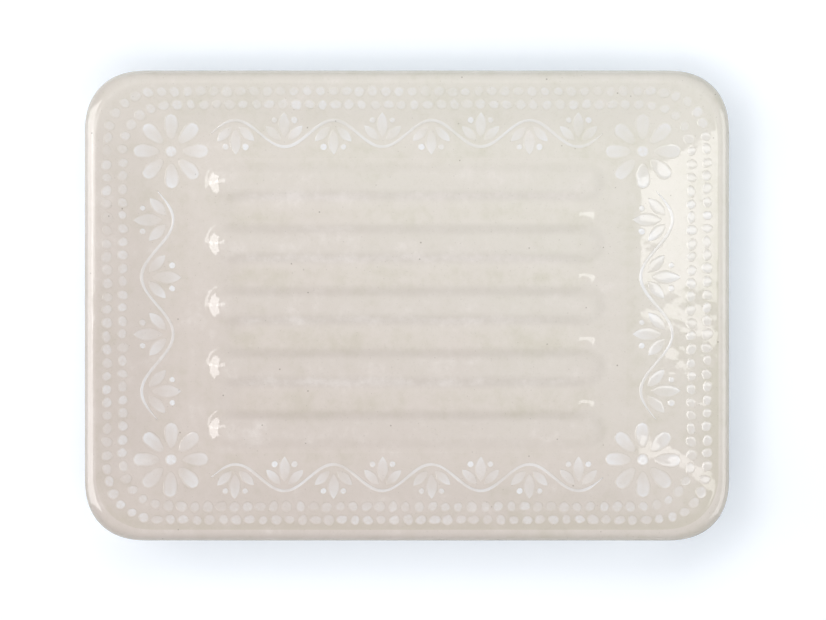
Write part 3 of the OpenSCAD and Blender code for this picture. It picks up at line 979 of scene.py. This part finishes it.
def glazed(finish, colour, roughness):
    """Ends a material in the glaze's gloss, with its soft waves and finest pinholes"""
    waves = finish.noise(6 * MM, detail=2.0, roughness=0.4, seed=5.5)
    orange_peel = finish.noise(1.3 * MM, detail=1.0, seed=2.2)
    pinholes = finish.specks(3.4 * MM, 0.12 * MM, 0.25)
    height = waves + orange_peel * 0.06 - pinholes * 0.05
    normal = finish.node("ShaderNodeBump", {}, {"Strength": 1.0, "Distance": GLAZE_RELIEF,
                                                "Height": height})
    smear = finish.noise(9 * MM, seed=4.4)
    return finish.surface({"Base Color": colour, "Normal": normal, "IOR": GLAZE_IOR,
                           "Roughness": smear * SMEAR_ROUGHNESS + roughness})


def glazed_stoneware(glaze, foot_height):
    finish = Finish("cream_glaze_on_stoneware")
    body = glaze_colour(finish, glaze, finish.mark("pool"))
    wander = finish.noise(3 * MM, detail=2.0, seed=6.4) * 0.5 * MM
    bare = 1 - (finish.axis("Z") - wander).above(foot_height - 0.3 * MM, foot_height - 0.05 * MM)
    grit = finish.noise(0.7 * MM, detail=5.0, roughness=0.7, seed=9.9)
    clay = finish.mix(grit.above(0.3, 0.7) * 0.3, glaze.clay, tuple(c * 0.72 for c in glaze.clay))
    return glazed(finish, finish.mix(bare, body, clay), bare * CLAY_ROUGHNESS + GLAZE_ROUGHNESS)


def white_slip(glaze):
    finish = Finish(SLIP_FINISH)
    milk = finish.mark("milk")
    streaks = finish.noise(1.8 * MM, detail=4.0, roughness=0.6, seed=7.3)
    thinness = finish.noise(4.5 * MM, detail=2.0, seed=12.1)
    body = glaze_colour(finish, glaze, 0.0)
    cover = (milk * (0.3 + streaks * 0.5 + thinness * 0.9)).above(0.0, 1.0)
    return glazed(finish, finish.mix(cover, body, glaze.slip), GLAZE_ROUGHNESS)


# Studio

def table_finish(studio):
    finish = Finish("white_table")
    tone = finish.noise(0.3, detail=2.0, seed=1.1)
    colour = finish.mix(tone * 0.12, studio.floor, tuple(c * 0.97 for c in studio.floor))
    return finish.surface({"Base Color": colour, "Roughness": 0.8, "Specular IOR Level": 0.1,
                           "Emission Color": (*studio.glow, 1.0),
                           "Emission Strength": studio.floor_glow})


def add_table(studio):
    mesh = bpy.data.meshes.new("table")
    work = bmesh.new()
    bmesh.ops.create_circle(work, cap_ends=True, segments=96, radius=2.5)
    work.to_mesh(mesh)
    work.free()
    mesh.materials.append(table_finish(studio))
    add_object("table", mesh)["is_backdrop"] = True


def add_soft_light(name, place, aim, size, power, shows, turn=0.0):
    """A rectangular light that faces its aim. It shows in the glaze, or else lights it"""
    data = bpy.data.lights.new(name, "AREA")
    data.shape, data.size, data.size_y = "RECTANGLE", size[0], size[1]
    data.energy = power
    light = add_object(name, data)
    light.location = place
    light.rotation_euler = (aim - place).to_track_quat("-Z", "Y").to_euler()
    light.rotation_euler.rotate_axis("Z", turn)
    light.visible_camera = False
    light.visible_glossy, light.visible_diffuse = shows, not shows


def toward(azimuth, elevation, distance):
    """A place seen from the dish's middle in a direction, in degrees"""
    a, e = math.radians(azimuth), math.radians(elevation)
    return Vector((math.cos(a) * math.cos(e), math.sin(a) * math.cos(e), math.sin(e))) * distance


# Each light's name, place and size, and whether it shows in the glaze
SOFT_LIGHTS = (
    ("shine_left", Vector((-0.312, 0, 0.176)), (0.32, 0.38), True),
    ("shine_right", toward(-8, 26, 0.5), (0.5, 0.3), True),
    ("fill_left", toward(172, 40, 0.8), (0.6, 0.4), False),
    ("fill_left_high", toward(172, 65, 1.0), (0.6, 0.4), False),
    ("fill_right", toward(-12, 35, 0.9), (0.6, 0.4), False),
    ("fill_front_high", toward(-90, 68, 1.1), (0.9, 0.6), False),
    ("fill_back", toward(90, 60, 0.6), (0.5, 0.3), False),
)
UPPER_PLACE = Vector((-1.09, 0.12, 2.2))
UPPER_SIZE = (1.62, 0.245)
UPPER_TURN = math.radians(2.4)


def add_lights(studio):
    for name, place, size, shows in SOFT_LIGHTS:
        add_soft_light(name, place, Vector(), size, getattr(studio, name), shows)
    below = Vector((UPPER_PLACE.x, UPPER_PLACE.y, 0))
    add_soft_light("shine_upper", UPPER_PLACE, below, UPPER_SIZE, studio.shine_upper, True,
                   UPPER_TURN)


def add_air(studio):
    world = bpy.data.worlds.new("studio_air")
    world.use_nodes = True
    background = world.node_tree.nodes["Background"]
    background.inputs["Color"].default_value = (0.93, 0.96, 1.0, 1.0)
    background.inputs["Strength"].default_value = studio.air
    bpy.context.scene.world = world


PHOTO_SIZE = (826, 620)
PHOTO_CENTRE = (407.0, 305.5)
PHOTO_PIXEL = 100 * MM / 470.5
SENSOR = 36.0


def add_camera(dish, studio):
    """Looks straight down, as far off centre as the photograph does"""
    data = bpy.data.cameras.new("camera")
    rim = dish.height - dish.lip_radius
    data.sensor_width = SENSOR
    data.lens = SENSOR * studio.camera_height / (PHOTO_SIZE[0] * PHOTO_PIXEL)
    data.clip_start, data.clip_end = 0.01, 20.0
    camera = add_object("camera", data)
    camera.location = ((PHOTO_SIZE[0] / 2 - PHOTO_CENTRE[0]) * PHOTO_PIXEL,
                       (PHOTO_CENTRE[1] - PHOTO_SIZE[1] / 2) * PHOTO_PIXEL,
                       rim + studio.camera_height)
    bpy.context.scene.camera = camera


# Operators

def settings():
    return bpy.context.scene.soap_dish


def slip_work():
    """What each step that lays slip works with: the form, the slip's sizes and its finish"""
    s = settings()
    finish = bpy.data.materials.get(SLIP_FINISH) or white_slip(s.glaze)
    return DishForm(s.dish), s.slip, finish


class SOAPDISH_OT_body(bpy.types.Operator):
    """Model the glazed stoneware body: lip, border, ribbed well, belly and bare foot"""
    bl_idname = "soapdish.body"
    bl_label = "Glazed Body"

    def execute(self, context):
        s = settings()
        build_body(DishForm(s.dish), glazed_stoneware(s.glaze, s.dish.foot_height))
        return {"FINISHED"}


class SOAPDISH_OT_beads(bpy.types.Operator):
    """Lay the two rows of slip beads along the rim"""
    bl_idname = "soapdish.beads"
    bl_label = "Bead Rows"

    def execute(self, context):
        build_bead_rows(*slip_work())
        return {"FINISHED"}


class SOAPDISH_OT_daisies(bpy.types.Operator):
    """Lay the petals and eyes of the four corner daisies"""
    bl_idname = "soapdish.daisies"
    bl_label = "Corner Daisies"

    def execute(self, context):
        work = slip_work()
        build_petals(*work)
        build_eyes(*work)
        return {"FINISHED"}


class SOAPDISH_OT_vines(bpy.types.Operator):
    """Lay the four vines with their leaves and berries"""
    bl_idname = "soapdish.vines"
    bl_label = "Vines"

    def execute(self, context):
        work = slip_work()
        build_stems(*work)
        build_leaves(*work)
        build_berries(*work)
        return {"FINISHED"}


class SOAPDISH_OT_stage(bpy.types.Operator):
    """Set up the white table, the lights, the air and the camera"""
    bl_idname = "soapdish.stage"
    bl_label = "Studio"

    def execute(self, context):
        s = settings()
        add_table(s.studio)
        add_lights(s.studio)
        add_air(s.studio)
        add_camera(s.dish, s.studio)
        context.scene.view_settings.view_transform = "Standard"
        return {"FINISHED"}


class SOAPDISH_PT_panel(bpy.types.Panel):
    """Lists the steps that model the soap dish"""
    bl_idname = "SOAPDISH_PT_panel"
    bl_label = "Soap Dish"
    bl_space_type = "VIEW_3D"
    bl_region_type = "UI"
    bl_category = "Soap Dish"

    def draw(self, context):
        for step in STEPS:
            self.layout.operator(step.bl_idname)
        for group in ("dish", "slip", "glaze", "studio"):
            box = self.layout.box()
            values = getattr(context.scene.soap_dish, group)
            for name in values.__annotations__:
                box.prop(values, name)


STEPS = (SOAPDISH_OT_body, SOAPDISH_OT_beads, SOAPDISH_OT_daisies, SOAPDISH_OT_vines,
         SOAPDISH_OT_stage)
CLASSES = (DishSizes, SlipSizes, GlazeColours, StudioLook, SoapDishSettings,
           *STEPS, SOAPDISH_PT_panel)


def register():
    for cls in CLASSES:
        bpy.utils.register_class(cls)
    bpy.types.Scene.soap_dish = PointerProperty(type=SoapDishSettings)


def unregister():
    del bpy.types.Scene.soap_dish
    for cls in reversed(CLASSES):
        bpy.utils.unregister_class(cls)


def write_sizes():
    """Works out the CAD model's box and the visual model's box"""
    boxes = {"cad": CAD_BOX, "visual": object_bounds()}
    {name: [list(corner) for corner in box] for name, box in boxes.items()}


def main():
    register()
    bpy.ops.soapdish.body()
    bpy.ops.soapdish.beads()
    bpy.ops.soapdish.daisies()
    bpy.ops.soapdish.vines()
    bpy.ops.soapdish.stage()
    write_sizes()


if __name__ == "__main__":
    main()
